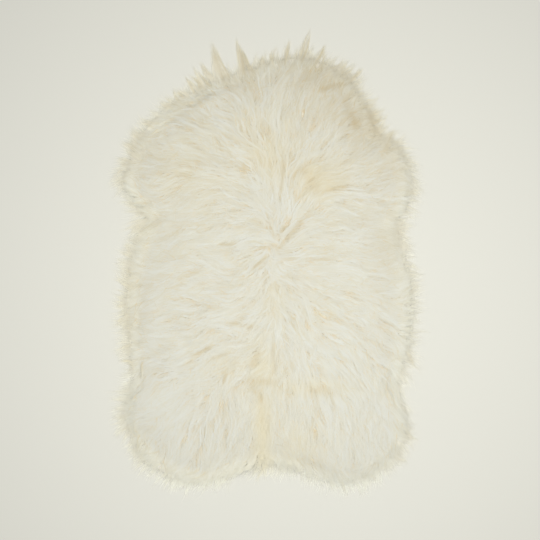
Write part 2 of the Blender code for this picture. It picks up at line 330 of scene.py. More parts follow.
# Where the wool parts, in dips. The dips are modelled; in them the wool is also painted yellower
# and browner, as painted shade.
CREVICES = (
    # from x, y to x, y, half width, strength
    (0.086, 0.096, 0.030, 0.027, 0.0050, 0.7),
    (0.013, 0.077, 0.023, 0.051, 0.0033, 0.7),
    (-0.106, 0.039, -0.073, 0.039, 0.0033, 0.9),
    (-0.011, 0.032, 0.030, 0.034, 0.0038, 0.8),
    (0.004, 0.012, -0.027, -0.016, 0.0045, 0.85),
    (0.097, 0.005, 0.149, 0.003, 0.0033, 0.5),
    (0.047, 0.005, 0.075, 0.005, 0.0033, 0.6),
    (0.090, 0.213, 0.122, 0.162, 0.0100, 0.45),
    (0.145, 0.163, 0.190, 0.177, 0.0053, 0.6),
    (0.042, 0.230, 0.037, 0.163, 0.0038, 0.6),
    (0.075, 0.213, 0.059, 0.185, 0.0041, 0.9),
    (-0.047, 0.228, -0.054, 0.199, 0.0041, 0.8),
    (0.025, 0.060, 0.054, 0.084, 0.0036, 0.6),
    (-0.168, -0.222, -0.130, -0.203, 0.0041, 0.9),
    (-0.130, -0.229, -0.090, -0.217, 0.0036, 0.6),
    (-0.092, -0.258, -0.097, -0.282, 0.0041, 0.8),
    (-0.016, -0.215, -0.032, -0.243, 0.0072, 0.55),
    (0.018, -0.193, 0.020, -0.258, 0.0048, 0.45),
    (0.061, -0.234, 0.063, -0.258, 0.0045, 0.5),
    (-0.051, -0.279, 0.028, -0.286, 0.0057, 0.6),
    (-0.032, -0.293, -0.008, -0.322, 0.0057, 0.6),
    (0.102, -0.298, 0.164, -0.310, 0.0057, 0.55),
    (-0.085, -0.145, -0.020, -0.155, 0.0038, 0.6),
    (-0.204, -0.043, -0.154, -0.023, 0.0043, 0.7),
    (-0.228, -0.064, -0.188, -0.054, 0.0036, 0.5),
    (0.188, 0.376, 0.212, 0.318, 0.0072, 0.8),
    (0.252, 0.347, 0.266, 0.290, 0.0110, 0.35),
    (0.268, 0.290, 0.290, 0.266, 0.0090, 0.3),
    (-0.298, -0.126, -0.252, -0.117, 0.0036, 0.4),
    (0.130, 0.402, 0.183, 0.419, 0.0060, 0.8),
)
CREVICE_DEPTH = 0.0035
CREVICE_WARMTH = 0.5  # how much yellower the under-wool is painted in them, as painted shade

# Where the wool is paler.
PALE = (
    # x, y, half width, half height, strength
    (-0.230, -0.330, 0.100, 0.110, 0.5),
    (0.210, -0.300, 0.110, 0.160, 0.4),
    (0.240, -0.020, 0.080, 0.120, 0.15),
)
PALE_TINT = 0.5  # what that adds to a lock's tint

# Painted shade: where the wool is painted browner and darker, as it is in shade near the neck end
# and along the sides.
PAINTED_SHADE = (
    # x, y, half width, half height, strength
    (0.130, 0.430, 0.110, 0.045, 1.0),
    (0.155, 0.355, 0.080, 0.055, 0.8),
    (0.290, 0.039, 0.045, 0.080, 0.4),
    (0.231, 0.318, 0.060, 0.090, 1.0),
    (0.290, 0.250, 0.045, 0.070, 0.8),
    (-0.054, 0.424, 0.081, 0.033, 0.45),
    (-0.185, 0.357, 0.081, 0.057, 0.10),
    (-0.300, 0.266, 0.038, 0.081, 0.35),
    (-0.329, -0.069, 0.033, 0.143, 0.3),
    (0.020, 0.500, 0.300, 0.060, 0.55),
)
PATCH_STRENGTH = (0.85, 0.30)  # the mean of a patch's strength, and how uneven it is

# Painted light at the rim: its wool is painted lighter where its slope and overhang would
# shade it, and its thinner hairs past that are darker and warmer. A band is from where
# it is nothing to where it is full.
PAINTED_RIM_LIGHT_BAND = (-0.015, 0.027)  # distances from the hide's edge
PAINTED_RIM_LIGHT_BY_TINT = (0.5, 0.8)  # of a warm lock, and how much more of a light one
RIM_LIGHT_LESS_AT_RIGHT = 0.35  # how much less it is at the right
RIGHT_BAND = (-0.20, 0.20)  # in x
RIM_LIGHT_LESS_AT_NECK = 0.30  # how much less it is at the neck
NECK_BAND = (0.40, 0.52)  # in y
THIN_BAND = (0.028, 0.046)  # distances from the hide's edge
TAIL_BAND = (-0.56, -0.44)  # in y, from the tail end, where it isn't thinner
# The same painted light on the mat's rim.
MAT_PAINTED_RIM_LIGHT_BAND = (0.002, 0.026)
MAT_RIM_LIGHT_LESS_IN_SHADE = 0.7  # how much of the mat's painted rim light is lost where painted shade is
LOCK_TOP_PAINTED_LIGHT = 0.12  # painted light and shade: how much lighter a fibre is at the top of its lock, and darker and warmer at its bottom

# Colours. The wool's is multiplied by each of TINGES as far as its attribute says.
FIBRE_ROOT = (0.86, 0.77, 0.58, 1)
FIBRE_MIDDLE = (0.86, 0.858, 0.80, 1)
FIBRE_TIP = (0.862, 0.873, 0.838, 1)
YELLOW_FIBRE = (0.88, 0.84, 0.68, 1)
WARM_LOCK = (0.94, 0.90, 0.80, 1)
TINGES = (
    # painted shade: browner where the wool lies in shade
    ("painted_shade", (0.94, 0.905, 0.83, 1)),
    # painted light: lighter at the rim, against the shade of its slope and overhang
    ("rim", (1.125, 1.120, 1.11, 1)),
    ("thin", (0.946, 0.930, 0.902, 1)),
    # painted shade: yellower and browner in the crevices
    ("crevice", (0.93, 0.87, 0.74, 1)),
)
MAT_SHADES = ((0.63, 0.59, 0.485, 1), (0.68, 0.65, 0.545, 1))
# where the wool parts, and as painted shade in the crevices
YELLOW_MAT = (0.64, 0.58, 0.45, 1)
# painted light: what the mat's rim is painted towards
PAINTED_RIM_LIGHT_MAT = (0.84, 0.81, 0.74, 1)
SUEDE_SHADES = ((0.58, 0.47, 0.33, 1), (0.72, 0.62, 0.47, 1))
FLOOR_COLOUR = (0.60, 0.595, 0.54, 1)


def smoothstep(t):
    t = np.clip(t, 0.0, 1.0)
    return t * t * (3 - 2 * t)


def rising(value, band):
    """From 0 where the value is at the band's first end to 1 at its second."""
    low, high = band
    return smoothstep((value - low) / (high - low))


class Noise:
    """Smooth noise of a place in the plan, from -1 to 1."""

    SIDE = 128

    def __init__(self, seed, cell):
        self.values = np.random.default_rng(seed).uniform(-1, 1, (self.SIDE, self.SIDE))
        self.cell = cell

    def at(self, x, y):
        u, v = x / self.cell, y / self.cell
        i, j = np.floor(u).astype(int), np.floor(v).astype(int)
        f, g = smoothstep(u - i), smoothstep(v - j)
        i0, j0 = i % self.SIDE, j % self.SIDE
        i1, j1 = (i + 1) % self.SIDE, (j + 1) % self.SIDE
        a = self.values[i0, j0] * (1 - f) + self.values[i1, j0] * f
        b = self.values[i0, j1] * (1 - f) + self.values[i1, j1] * f
        return a * (1 - g) + b * g


class Field:
    """A value known on a grid of places, read smoothly between them."""

    def __init__(self, xs, ys, values):
        self.xs, self.ys, self.values = np.asarray(xs), np.asarray(ys), np.asarray(values)

    def at(self, x, y):
        i = np.clip(np.searchsorted(self.xs, x) - 1, 0, len(self.xs) - 2)
        j = np.clip(np.searchsorted(self.ys, y) - 1, 0, len(self.ys) - 2)
        f = np.clip((x - self.xs[i]) / (self.xs[i + 1] - self.xs[i]), 0, 1)
        g = np.clip((y - self.ys[j]) / (self.ys[j + 1] - self.ys[j]), 0, 1)
        v = self.values
        low = v[j, i] * (1 - f) + v[j, i + 1] * f
        high = v[j + 1, i] * (1 - f) + v[j + 1, i + 1] * f
        return low * (1 - g) + high * g


# The unevenness of the wool: the seed of each noise and the size of its cells.
BENDS = Noise(1, 0.075)
RIPPLES = Noise(2, 0.032)
SWAY_SHIFTS = Noise(3, 0.050)
MAT_DIPS = Noise(5, 0.017)
MAT_RIPPLES = Noise(6, 0.021)
PATCH_NOISE = Noise(8, 0.035)
REACH_NOISE = Noise(11, 0.030)


def hide_outline(node):
    """The hide's outline on the floor, as an ordered loop of x, y."""
    mesh = node.data
    keys = [tuple(round(value, 5) for value in v.co) for v in mesh.vertices]
    count = {}
    for polygon in mesh.polygons:
        points = [keys[i] for i in polygon.vertices]
        if max(p[2] for p in points) > 1e-4:
            continue
        for a, b in zip(points, points[1:] + points[:1]):
            edge = frozenset((a, b))
            count[edge] = count.get(edge, 0) + 1
    beside = {}
    for edge in (e for e, n in count.items() if n == 1):
        a, b = edge
        beside.setdefault(a, []).append(b)
        beside.setdefault(b, []).append(a)
    start = min(beside)
    loop, before = [start], None
    while True:
        here = loop[-1]
        after = next(p for p in sorted(beside[here]) if p != before)
        if after == start and len(loop) > 2:
            break
        before = here
        loop.append(after)
    return np.array(loop)[:, :2]


def distance_to_line(x, y, ax, ay, bx, by):
    """The distance of a place from the straight line between two others."""
    dx, dy = bx - ax, by - ay
    t = np.clip(((x - ax) * dx + (y - ay) * dy) / (dx * dx + dy * dy), 0, 1)
    return np.hypot(x - ax - t * dx, y - ay - t * dy)


def distance_outside(outline, x, y):
    """How far a place is outside the outline, and below 0 how far inside."""
    nearest = np.full(x.shape, 1e9)
    inside = np.zeros(x.shape, bool)
    for (ax, ay), (bx, by) in zip(outline, np.roll(outline, -1, axis=0)):
        dx, dy = bx - ax, by - ay
        nearest = np.minimum(nearest, distance_to_line(x, y, ax, ay, bx, by))
        crosses = (ay > y) != (by > y)
        inside ^= crosses & (x < ax + (y - ay) * dx / (dy if dy else 1e-12))
    return np.where(inside, -nearest, nearest)


def shorter(x, y):
    """How much less far the wool reaches past the hide in a place's direction."""
    angle = np.degrees(np.arctan2(y - REACH_CENTRE[1], x - REACH_CENTRE[0]))
    return np.interp(angle, *zip(*SHORTER), period=360)


def fleece_heights(xs, ys):
    """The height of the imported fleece's top over a grid, and 0 beside it."""
    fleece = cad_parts["fleece"].data
    tree = BVHTree.FromPolygons(
        [v.co for v in fleece.vertices], [p.vertices for p in fleece.polygons]
    )
    above, down = cad_high.z + HEIGHT_MARGIN, Vector((0, 0, -1))
    heights = np.zeros((len(ys), len(xs)))
    for j, y in enumerate(ys):
        for i, x in enumerate(xs):
            hit = tree.ray_cast(Vector((x, y, above)), down)[0]
            heights[j, i] = hit.z if hit else 0.0
    return heights


def wool_height(outline):
    """The height of the top of the wool on a grid, and how far each place is outside the
    hide, which counts for more where the wool is shorter. The height is the packed
    fleece's own, and past the hide falls to the floor."""
    xs = np.arange(cad_low.x - HEIGHT_MARGIN, cad_high.x + HEIGHT_MARGIN, HEIGHT_STEP)
    ys = np.arange(cad_low.y - HEIGHT_MARGIN, cad_high.y + HEIGHT_MARGIN, HEIGHT_STEP)
    gx, gy = np.meshgrid(xs, ys)
    away = distance_outside(outline, gx, gy)
    away = away + shorter(gx, gy) * rising(away, SHORTER_BAND)
    fall = np.interp(away, *zip(*RIM_FALL))
    share = rising(away, RIM_FALL_BAND)
    heights = fleece_heights(xs, ys) * (1 - share) + fall * share
    return Field(xs, ys, heights), Field(xs, ys, away)


def comb_field():
    """The comb's direction as two fields, its x and its y."""
    rows = sorted(COMB)
    angles = np.radians([headings for _, headings in rows])
    ys = [y for y, _ in rows]
    return Field(COMB_X, ys, np.cos(angles)), Field(COMB_X, ys, np.sin(angles))


def comb_heading(comb, x, y):
    """The comb's heading at a place, which turns to straight out near the whorl."""
    across, along = comb[0].at(x, y), comb[1].at(x, y)
    out_x, out_y = x - WHORL[0], y - WHORL[1]
    reach = np.hypot(out_x, out_y) + 1e-9
    share = np.exp(-((reach / WHORL_RADIUS) ** 2))
    across = across * (1 - share) + out_x / reach * share
    along = along * (1 - share) + out_y / reach * share
    return np.arctan2(along, across)


def scattered(outline, spacing, low, high, rng):
    """Places on a jittered grid whose distance outside the outline is from low to high."""
    margin = 0.02
    axes = (np.arange(a.min() - margin, a.max() + margin, spacing) for a in outline.T)
    x, y = (g.ravel() for g in np.meshgrid(*axes))
    x = x + rng.uniform(-0.5, 0.5, x.size) * spacing
    y = y + rng.uniform(-0.5, 0.5, y.size) * spacing
    away = distance_outside(outline, x, y)
    kept = (away > low) & (away < high)
    return np.c_[x[kept], y[kept]]


def crossing_tufts(rng):
    """Roots and first headings of the short tufts that cross the parting."""
    roots, headings = [], []
    for x, y, half, count, heading, spread in PARTING:
        turn = rng.uniform(0, math.tau, count)
        reach = half * np.sqrt(rng.uniform(0, 1, count))
        roots.append(np.c_[x + reach * np.cos(turn), y + reach * np.sin(turn)])
        headings.append(np.radians(heading + rng.uniform(-spread, spread, count)))
    return np.concatenate(roots), np.concatenate(headings)


def turned_to_comb(first, heading, t):
    """A heading that starts as the first one and turns to the comb's."""
    share = smoothstep(t / CROSSING_TURN)
    across = np.cos(first) * (1 - share) + np.cos(heading) * share
    along = np.sin(first) * (1 - share) + np.sin(heading) * share
    return np.arctan2(along, across)


def lay_tufts(comb, roots, length, rng, first=None, turned=TUFT_TURN):
    """The middle line of each tuft in the plan, which follows the comb from its root.
    With first, each starts in that direction instead and turns to the comb's."""
    count = len(roots)
    turn = rng.normal(0, math.radians(turned), count)
    shift = SWAY_SHIFTS.at(*roots.T) * SWAY_SHIFT + rng.normal(0, SWAY_JITTER, count)
    place = roots.copy()
    lines = np.zeros((count, TUFT_STEPS, 2))
    stride = length / (TUFT_STEPS - 1)
    for step in range(TUFT_STEPS):
        t = step / (TUFT_STEPS - 1)
        lines[:, step] = place
        heading = comb_heading(comb, *place.T)
        if first is not None:
            heading = turned_to_comb(first, heading, t)
        heading += turn
        heading += math.radians(BEND_TURN) * BENDS.at(*place.T)
        heading += math.radians(RIPPLE_TURN) * RIPPLES.at(*place.T)
        heading += math.radians(SWAY_TURN) * np.sin(shift + math.tau * SWAYS * t)
        place = place + np.c_[np.cos(heading), np.sin(heading)] * stride[:, None]
    return lines


def lay_wisps(rng):
    """The middle lines of the locks of every wisp, which close on its tip."""
    t = np.linspace(0, 1, TUFT_STEPS)[:, None]
    lines = []
    for _, root_x, root_y, tip_x, tip_y, half, count in WISPS:
        root, tip = np.array([root_x, root_y]), np.array([tip_x, tip_y])
        way = tip - root
        across = np.array([-way[1], way[0]]) / np.linalg.norm(way)
        for _ in range(count):
            offset = rng.uniform(-1, 1)
            start = root + across * offset * half + way * rng.uniform(*WISP_ROOTS)
            reach = rng.uniform(*WISP_REACH) * (1 - WISP_POINT * abs(offset))
            end = root + way * reach + across * offset * half * WISP_TIP
            bow = rng.normal(0, WISP_BOW) * np.linalg.norm(way)
            line = start + (end - start) * t + across * bow * np.sin(math.pi * t)
            lines.append(line)
    return np.array(lines)


def nearest_rows(points, others):
    """The row of the nearest of the others for each point, in twelve parts."""
    rows = [
        np.argmin(((part[:, None, :] - others[None, :, :]) ** 2).sum(axis=2), axis=1)
        for part in np.array_split(points, 12)
    ]
    return np.concatenate(rows)


def lay_locks(tufts, roots, rng):
    """The middle line of each lock in the plan, which closes on the middle of its tuft,
    and the tuft that it belongs to."""
    tuft = nearest_rows(roots, tufts[:, 0])
    t = np.linspace(0, 1, TUFT_STEPS)[None, :, None]
    offset = (roots - tufts[tuft, 0])[:, None, :]
    lines = tufts[tuft] + offset * (1 - TUFT_PULL * t**PULL_POWER)
    way = np.gradient(lines, axis=1)
    way /= np.linalg.norm(way, axis=2, keepdims=True)
    across = np.stack([-way[..., 1], way[..., 0]], axis=-1)
    phase = rng.uniform(0, math.tau, len(roots))[:, None, None]
    size = rng.uniform(*LOCK_WAVE, len(roots))[:, None, None]
    wave = np.sin(phase + math.tau * LOCK_WAVES * t)
    grown = np.minimum(1, 3 * t)  # over the first third of the length
    return lines + across * size * wave * grown, tuft


def raise_locks(lines, height, lift, layer):
    """Gives the locks their heights: each rises from its root to lie on the wool."""
    t = np.linspace(0, 1, TUFT_STEPS)[None, :]
    top = height.at(lines[..., 0], lines[..., 1])
    sink = ROOT_DEPTH * (1 - smoothstep(t / ROOT_RISE)) - lift[:, None] * np.sin(math.pi * t)
    z = np.maximum((top - sink) * layer[:, None], LOCK_GAP)
    return np.concatenate([lines, z[..., None]], axis=2)


def share_within(lines, away, limit):
    """The share of each line that comes before it is further from the hide than limit."""
    out = away.at(lines[..., 0], lines[..., 1]) > limit[:, None]
    first = np.where(out.any(axis=1), np.argmax(out, axis=1), lines.shape[1] - 1)
    return np.maximum(first, 1) / (lines.shape[1] - 1)


def along_lines(lines, row, t):
    """Places on the lines of the given rows at shares t of their length."""
    last = lines.shape[1] - 1
    at = np.clip(t, 0, 1) * last
    i = np.minimum(at.astype(int), last - 1)
    f = (at - i)[..., None]
    rows = row[:, None]
    return lines[rows, i] * (1 - f) + lines[rows, i + 1] * f


def unit(v):
    return v / np.maximum(np.linalg.norm(v, axis=-1, keepdims=True), 1e-12)


def tangents(places):
    """The direction of each line at each of its places."""
    ahead = np.concatenate([places[:, 1:], places[:, -1:]], axis=1)
    behind = np.concatenate([places[:, :1], places[:, :-1]], axis=1)
    return unit(ahead - behind)


def spread_in_locks(lock, locks, radius, rng):
    """How far each fibre lies beside its lock's line and over it at each step, and its
    height in the lock from -1 to 1."""
    count = lock.size
    angle = rng.uniform(0, math.tau, count)
    off = np.sqrt(rng.uniform(0, 1, count)) * radius[lock]
    loose = rng.uniform(0, 1, count) < LOOSE_SHARE
    narrow = 1 - LOCK_NARROWS * FIBRE_STEPS**NARROWS_POWER
    stray = rng.normal(0, FIBRE_STRAY, (2, count))[..., None] * FIBRE_STEPS**2
    phase = rng.uniform(0, math.tau, locks)[lock] + rng.normal(0, WAVE_JITTER, count)
    wave = FIBRE_WAVE * np.sin(math.tau * FIBRE_WAVES * FIBRE_STEPS + phase[:, None])
    aside = np.cos(angle) * off * np.where(loose, LOOSE_REACH, 1.0)
    sideways = aside[:, None] * narrow + stray[0] + wave * FIBRE_STEPS
    upward = (np.sin(angle) * off * LOCK_FLATNESS)[:, None] * narrow
    upward += np.abs(stray[1]) * STRAY_UP
    return sideways, upward, np.sin(angle) * off / radius[lock]


def grow_fibres(locks, share, kinds, rng):
    """Fibres round each lock's line: places, side vectors and widths at each step, the
    lock that each one belongs to, and its height in the lock from -1 to 1."""
    lock = np.repeat(np.arange(len(locks)), kinds["fibres"])
    count = lock.size
    reach = rng.uniform(*FIBRE_REACH, count) * share[lock]
    spine = along_lines(locks, lock, FIBRE_STEPS * reach[:, None])
    way = tangents(spine)
    up = np.zeros_like(way)
    up[..., 2] = 1.0
    side = unit(np.cross(way, up))
    up = np.cross(side, way)
    sideways, upward, depth = spread_in_locks(lock, len(locks), kinds["radius"], rng)
    places = spine + side * sideways[..., None] + up * upward[..., None]
    places[..., 2] = np.maximum(places[..., 2], FLOOR_GAP)
    roll = rng.uniform(-FIBRE_ROLL, FIBRE_ROLL, count)[:, None, None]
    way = tangents(places)
    side = unit(np.cross(way, up))
    flat = side * np.cos(roll) + np.cross(side, way) * np.sin(roll)
    width = rng.uniform(*FIBRE_WIDTH, count) * kinds["width"][lock]
    return places, flat, width, lock, depth


def in_patches(patches, x, y):
    """The strength of the strongest patch at a place, uneven at its edges."""
    mean, spread = PATCH_STRENGTH
    uneven = mean + spread * PATCH_NOISE.at(x, y)
    total = np.zeros_like(x)
    for cx, cy, half_x, half_y, strength in patches:
        near = np.exp(-(((x - cx) / half_x) ** 2) - ((y - cy) / half_y) ** 2)
        total = np.maximum(total, strength * near * uneven)
    return np.clip(total, 0, 1)


def in_crevices(x, y):
    """The strength of the strongest crevice at a place."""
    total = np.zeros_like(x)
    for *ends, half, strength in CREVICES:
        off = distance_to_line(x, y, *ends)
        total = np.maximum(total, strength * np.exp(-((off / half) ** 2)))
    return total


def soft_normals(places, flat, height):
    """The shading normal at each step: the ribbon's own, drawn to that of the fleece."""
    own = unit(np.cross(flat, tangents(places)))
    x, y, step = places[..., 0], places[..., 1], HEIGHT_STEP
    slope_x = (height.at(x + step, y) - height.at(x - step, y)) / (2 * step)
    slope_y = (height.at(x, y + step) - height.at(x, y - step)) / (2 * step)
    level = np.full_like(x, 1 / SLOPE_SOFTNESS)
    fleece = unit(np.stack([-slope_x, -slope_y, level], axis=-1))
    return unit(own * (1 - FIBRE_SOFTNESS) + fleece * FIBRE_SOFTNESS)


def on_vertices(values):
    """Values at each step as values at each vertex: two to a step, and one at the tip."""
    return np.concatenate([np.repeat(values[:, :-1], 2, axis=1), values[:, -1:]], axis=1)


def ribbon_vertices(places, flat, width):
    """The vertices of the fibres: two at each step, and one at the tip."""
    count, pairs = len(places), len(FIBRE_TAPER)
    half = width[:, None, None] * FIBRE_TAPER[None, :, None] / 2
    left = places[:, :pairs] - flat[:, :pairs] * half
    right = places[:, :pairs] + flat[:, :pairs] * half
    both = np.stack([left, right], axis=2).reshape(count, pairs * 2, 3)
    verts = np.concatenate([both, places[:, -1:]], axis=1).reshape(-1, 3)
    verts[:, 2] = np.maximum(verts[:, 2], FLOOR_GAP / 2)
    return verts


def ribbon_faces():
    """The corners of one fibre's faces, quads and a pointed tip, and each one's size."""
    pairs = len(FIBRE_TAPER)
    quads = [(2 * k, 2 * k + 1, 2 * k + 3, 2 * k + 2) for k in range(pairs - 1)]
    tip = (2 * pairs - 2, 2 * pairs - 1, 2 * pairs)
    corners = [i for face in (*quads, tip) for i in face]
    return np.array(corners), np.array([4] * len(quads) + [3])


def write_bake_map(mesh, count, corners):
    """Gives each fibre its own place in the OFBake map, with a margin round it."""
    pairs = len(FIBRE_TAPER)
    along = np.append(np.repeat(FIBRE_STEPS[:pairs], 2), 1.0)
    across = np.append(np.tile([0.15, 0.85], pairs), 0.5)
    cells = math.ceil(math.sqrt(count))
    column, row = np.arange(count) % cells, np.arange(count) // cells
    u = along[None, corners] * 0.8 + 0.1
    v = across[None, corners]
    uv = np.stack([(column[:, None] + u) / cells, (row[:, None] + v) / cells], axis=-1)
    layer = mesh.uv_layers.new(name="OFBake")
    layer.data.foreach_set("uv", uv.astype(np.float32).ravel())


def fibre_mesh(name, places, flat, width, normals, values):
    """One mesh of tapered ribbons, with the values as attributes."""
    verts = ribbon_vertices(places, flat, width)
    corners, sizes = ribbon_faces()
    count = len(places)
    firsts = np.arange(count)[:, None] * (len(verts) // count)
    loops = (firsts + corners[None, :]).ravel()
    totals = np.tile(sizes, count)
    starts = np.concatenate([[0], np.cumsum(totals)[:-1]])
    mesh = bpy.data.meshes.new(name)
    mesh.vertices.add(len(verts))
    mesh.vertices.foreach_set("co", verts.astype(np.float32).ravel())
    mesh.loops.add(len(loops))
    mesh.loops.foreach_set("vertex_index", loops.astype(np.int32))
    mesh.polygons.add(len(totals))
    mesh.polygons.foreach_set("loop_start", starts.astype(np.int32))
    mesh.update(calc_edges=True)
    mesh.shade_smooth()
    for key, value in values.items():
        write_attribute(mesh, key, on_vertices(value).ravel())
    write_bake_map(mesh, count, corners)
    mesh.normals_split_custom_set_from_vertices(on_vertices(normals).reshape(-1, 3).tolist())
    return mesh


def write_attribute(mesh, name, values):
    attribute = mesh.attributes.new(name, "FLOAT", "POINT")
    attribute.data.foreach_set("value", values.astype(np.float32))


def in_scene(name, data):
    """A new object in the scene."""
    thing = bpy.data.objects.new(name, data)
    bpy.context.scene.collection.objects.link(thing)
    return thing


def add_object(name, mesh, material):
    piece = in_scene(name, mesh)
    mesh.materials.append(material)
    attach(piece, "root")
    return piece


def hide_reach(outline, across, along):
    """How far the hide goes from the middle in each direction, to half a millimetre."""
    reaches = np.linspace(0, 0.6, 1201)
    past = distance_outside(outline, across[:, None] * reaches, along[:, None] * reaches)
    return reaches[np.argmax(past > 0, axis=1)]


def mat_rings(outline, height):
    """The rings of the under-wool's vertices, from its crown to its underside."""
    theta = np.linspace(0, math.tau, MAT_TURNS, endpoint=False)
    across, along = np.cos(theta), np.sin(theta)
    edge = hide_reach(outline, across, along)
    tuck = MAT_TUCK * shorter(across * edge, along * edge)
    ripple = MAT_RIPPLES.at(across * edge, along * edge)
    rings = []
    for k in range(MAT_RINGS + 1):
        reach = k / MAT_RINGS * (edge + MAT_TOP_REACH)
        x, y = across * reach, along * reach
        depth = MAT_DEPTH + MAT_DIP * MAT_DIPS.at(x, y) + CREVICE_DEPTH * in_crevices(x, y)
        rings.append(np.c_[x, y, np.maximum(height.at(x, y) - depth, MAT_LEAST_TOP)])
    for past, z in MAT_RIM:
        reach = edge + past - np.clip(tuck, 0, past) + MAT_RIPPLE * past * ripple
        x, y = across * reach, along * reach
        lower = np.clip(height.at(x, y) - MAT_RIM_DEPTH, MAT_RIM_LEAST, z)
        rings.append(np.c_[x, y, lower])
    for share in (1.0, 0.5):
        reach = (edge + MAT_UNDERSIDE_REACH) * share
        level = np.full(MAT_TURNS, MAT_UNDERSIDE)
        rings.append(np.c_[across * reach, along * reach, level])
    return rings


def closed_mesh(name, rings, bottom):
    """A mesh over the rings, closed on the middle of the first and on the bottom."""
    turns, bands = len(rings[0]), len(rings) - 2
    verts = np.concatenate([rings[0].mean(axis=0)[None], *rings[1:], [bottom]])
    last = 1 + bands * turns
    faces = []
    for i in range(turns):
        j = (i + 1) % turns
        faces.append((0, 1 + i, 1 + j))
        for k in range(bands):
            a, b = 1 + k * turns, 1 + (k + 1) * turns
            faces.append((a + i, b + i, b + j, a + j))
        faces.append((last + i, len(verts) - 1, last + j))
    mesh = bpy.data.meshes.new(name)
    mesh.from_pydata(verts.tolist(), [], faces)
    mesh.shade_smooth()
    return mesh, verts


def under_wool(outline, height, away):
    """The dense wool below the locks, a closed crowned mat over the hide."""
    rings = mat_rings(outline, height)
    mesh, verts = closed_mesh("under_wool", rings, (0, 0, MAT_UNDERSIDE))
    x, y = verts[:, 0], verts[:, 1]
    # Yellower where the wool parts, and painted shade in the crevices.
    warm = np.maximum(in_patches(WARM, x, y), CREVICE_WARMTH * in_crevices(x, y))
    # Painted light: the mat's rim is painted lighter, less where painted shade is.
    mat_painted_rim_light = rising(away.at(x, y), MAT_PAINTED_RIM_LIGHT_BAND)
    write_attribute(mesh, "warm", warm)
    write_attribute(mesh, "rim", mat_painted_rim_light * (1 - MAT_RIM_LIGHT_LESS_IN_SHADE * in_patches(PAINTED_SHADE, x, y)))
    return mesh


def new_material(name):
    material = bpy.data.materials.new(name)
    material.use_nodes = True
    nodes, links = material.node_tree.nodes, material.node_tree.links
    return material, nodes, links, nodes["Principled BSDF"]


def set_inputs(node, values):
    for name, value in values.items():
        node.inputs[name].default_value = value


def attribute_node(nodes, name):
    node = nodes.new("ShaderNodeAttribute")
    node.attribute_name = name
    return node.outputs["Fac"]


def mix_node(nodes, links, factor, first, second, blend="MIX"):
    """A colour mix. The factor and the colours may be sockets or values."""
    mix = nodes.new("ShaderNodeMix")
    mix.data_type = "RGBA"
    mix.blend_type = blend
    for index, value in ((0, factor), (6, first), (7, second)):
        socket = mix.inputs[index]
        if isinstance(value, bpy.types.NodeSocket):
            links.new(value, socket)
        else:
            socket.default_value = value
    return mix.outputs[2]


def ramp_node(nodes, links, value, *stops):
    """A colour ramp over a value. The stops after the first two lie between those."""
    ramp = nodes.new("ShaderNodeValToRGB")
    links.new(value, ramp.inputs["Fac"])
    elements = ramp.color_ramp.elements
    for element, (position, colour) in zip(elements, stops):
        element.position, element.color = position, colour
    for position, colour in stops[2:]:
        elements.new(position).color = colour
    return ramp.outputs["Color"]


def noise_node(nodes, scale, detail):
    noise = nodes.new("ShaderNodeTexNoise")
    set_inputs(noise, {"Scale": scale, "Detail": detail})
    return noise.outputs["Fac"]


def add_bump(nodes, links, shader, height, strength, distance):
    bump = nodes.new("ShaderNodeBump")
    set_inputs(bump, {"Strength": strength, "Distance": distance})
    links.new(height, bump.inputs["Height"])
    links.new(bump.outputs["Normal"], shader.inputs["Normal"])


def let_light_through(nodes, links, shader, colour, share):
    """Mixes in a shader that passes light on, as thin wool does."""
    through = nodes.new("ShaderNodeBsdfTranslucent")
    links.new(colour, through.inputs["Color"])
    mix = nodes.new("ShaderNodeMixShader")
    mix.inputs["Fac"].default_value = share
    links.new(shader.outputs["BSDF"], mix.inputs[1])
    links.new(through.outputs["BSDF"], mix.inputs[2])
    links.new(mix.outputs["Shader"], nodes["Material Output"].inputs["Surface"])


def grey(value):
    return (value, value, value, 1.0)


def tinged(nodes, links, attribute, colour, tinge):
    """The colour, multiplied by the tinge as far as the attribute says."""
    multiplied = mix_node(nodes, links, 1.0, colour, tinge, "MULTIPLY")
    return mix_node(nodes, links, attribute_node(nodes, attribute), colour, multiplied)


def wool_material():
    """Fibres: cream at the root, ivory at the tip, a little different lock by lock, with painted
    shade and painted light multiplied in.
    """
    material, nodes, links, shader = new_material("wool_fibre")
    along = attribute_node(nodes, "along")
    warm = attribute_node(nodes, "warm")
    tint = attribute_node(nodes, "tint")
    stops = (0.0, FIBRE_ROOT), (1.0, FIBRE_TIP), (0.30, FIBRE_MIDDLE)
    body = ramp_node(nodes, links, along, *stops)
    yellowed = mix_node(nodes, links, warm, body, YELLOW_FIBRE)
    shade = ramp_node(nodes, links, tint, (0.0, WARM_LOCK), (1.0, grey(1.0)))
    colour = mix_node(nodes, links, 1.0, yellowed, shade, "MULTIPLY")
    for attribute, tinge in TINGES:
        colour = tinged(nodes, links, attribute, colour, tinge)
    links.new(colour, shader.inputs["Base Color"])
    let_light_through(nodes, links, shader, colour, THROUGH)
    set_inputs(shader, {"Roughness": 0.62, "Specular IOR Level": 0.25})
    set_inputs(shader, {"Sheen Weight": 0.2, "Sheen Roughness": 0.5})
    return material


